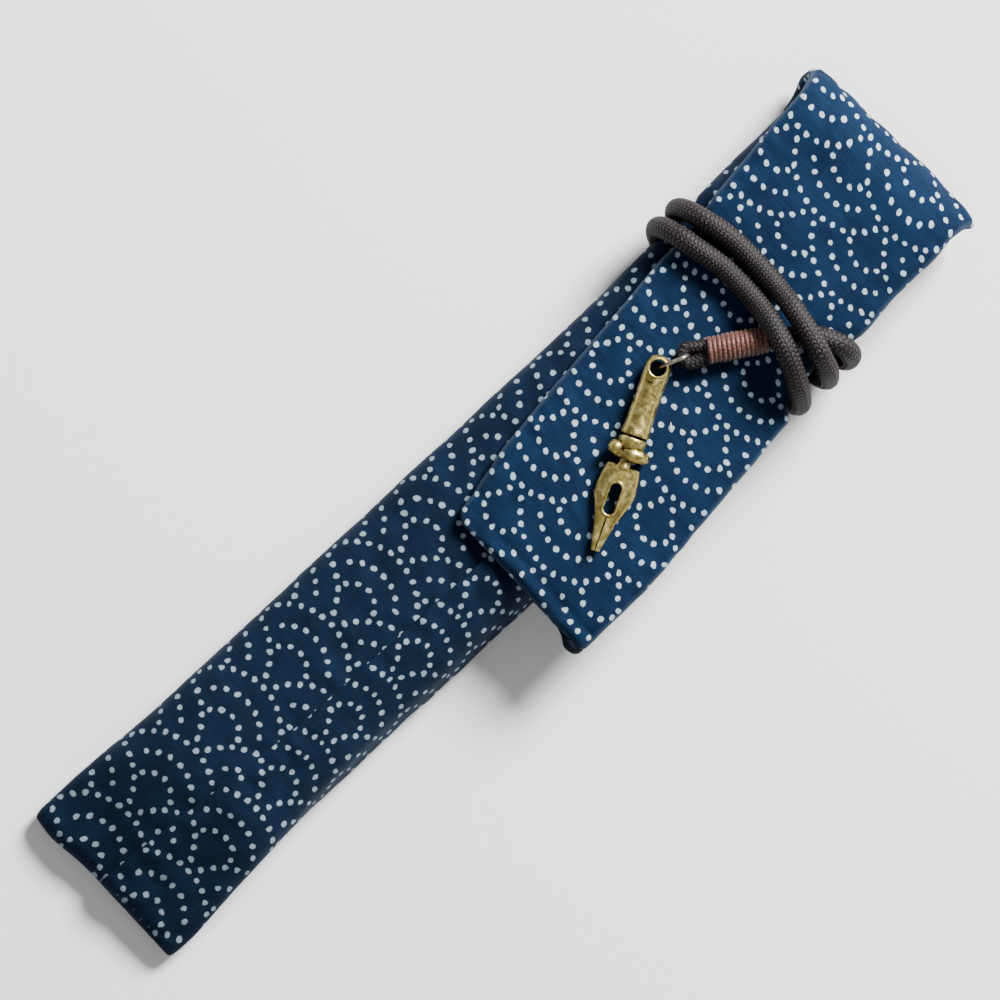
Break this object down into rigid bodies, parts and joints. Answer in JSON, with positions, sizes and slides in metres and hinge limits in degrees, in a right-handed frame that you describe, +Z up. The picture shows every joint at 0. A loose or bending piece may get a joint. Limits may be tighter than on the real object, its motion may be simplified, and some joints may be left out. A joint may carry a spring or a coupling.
{
  "type": "brush roll case",
  "caption": "Slim padded cotton sleeve for a brush or pen, with a fold-over flap closed by a wound cord and a nib charm.",
  "frame": {"origin": "middle of the flat underside of the sleeve, on the surface that the case lies on", "axes": "+X along the sleeve towards the fold of the flap, +Y to the left as seen from above with the fold ahead, +Z up out of the front of the case, where the flap and the charm lie"},
  "size_m": [0.1871, 0.0467, 0.0242],
  "materials": {
    "printed_cotton": "plain-woven indigo cotton printed with dotted wave scales in off-white",
    "lining_cotton": "plain dark indigo cotton",
    "padding": "thin cotton wadding",
    "stitch_thread": "dark blue sewing thread",
    "waxed_cord": "braided waxed cotton cord with a dull waxy sheen",
    "whipping_thread": "reddish-brown waxed thread",
    "ring_wire": "darkened wire",
    "antique_brass": "antique brass casting, dark in the recesses and worn bright on the high edges"
  },
  "bodies": {
    "case": {"outer_shell": "printed_cotton", "sleeve_padding": "padding", "sleeve_lining": "lining_cotton", "end_hem": "printed_cotton", "end_stitch": "stitch_thread", "closing_hem": "printed_cotton", "closing_stitch": "stitch_thread", "mouth_binding": "printed_cotton", "mouth_tack_left": "stitch_thread", "mouth_tack_right": "stitch_thread"},
    "fold": {"fold_shell": "printed_cotton", "fold_padding": "padding", "fold_lining": "lining_cotton"},
    "flap": {"flap_shell": "printed_cotton", "flap_padding": "padding", "flap_lining": "lining_cotton", "flap_end_hem": "printed_cotton", "tie_cord": "waxed_cord", "cord_whipping": "whipping_thread", "cord_eye": "waxed_cord"},
    "ring": {"jump_ring": "ring_wire"},
    "charm": {"nib_charm": "antique_brass"}
  },
  "joints": [
    {"name": "flap_unroll_low", "type": "hinge", "parent": "case", "child": "fold", "pos_m": [0.09092, 0.00038, 0.00172], "axis": [-0.061, 0.9981, 0], "range_deg": [0, 75], "deforming": ["fold_shell", "fold_padding", "fold_lining"]},
    {"name": "flap_unroll_high", "type": "hinge", "parent": "fold", "child": "flap", "pos_m": [0.09092, 0.00038, 0.01428], "axis": [-0.061, 0.9981, 0], "range_deg": [0, 75], "deforming": ["tie_cord"]},
    {"name": "ring_lift", "type": "hinge", "parent": "flap", "child": "ring", "pos_m": [0.04092, -0.00133, 0.0181], "axis": [0.3511, 0.9363, 0], "range_deg": [0, 60]},
    {"name": "charm_swing", "type": "hinge", "parent": "ring", "child": "charm", "pos_m": [0.0371, 0.0001, 0.0181], "axis": [0, 0, 1], "range_deg": [-35, 35]}
  ],
  "couplings": [
    {"joint": "flap_unroll_high", "follows": "flap_unroll_low", "ratio": 1}
  ]
}
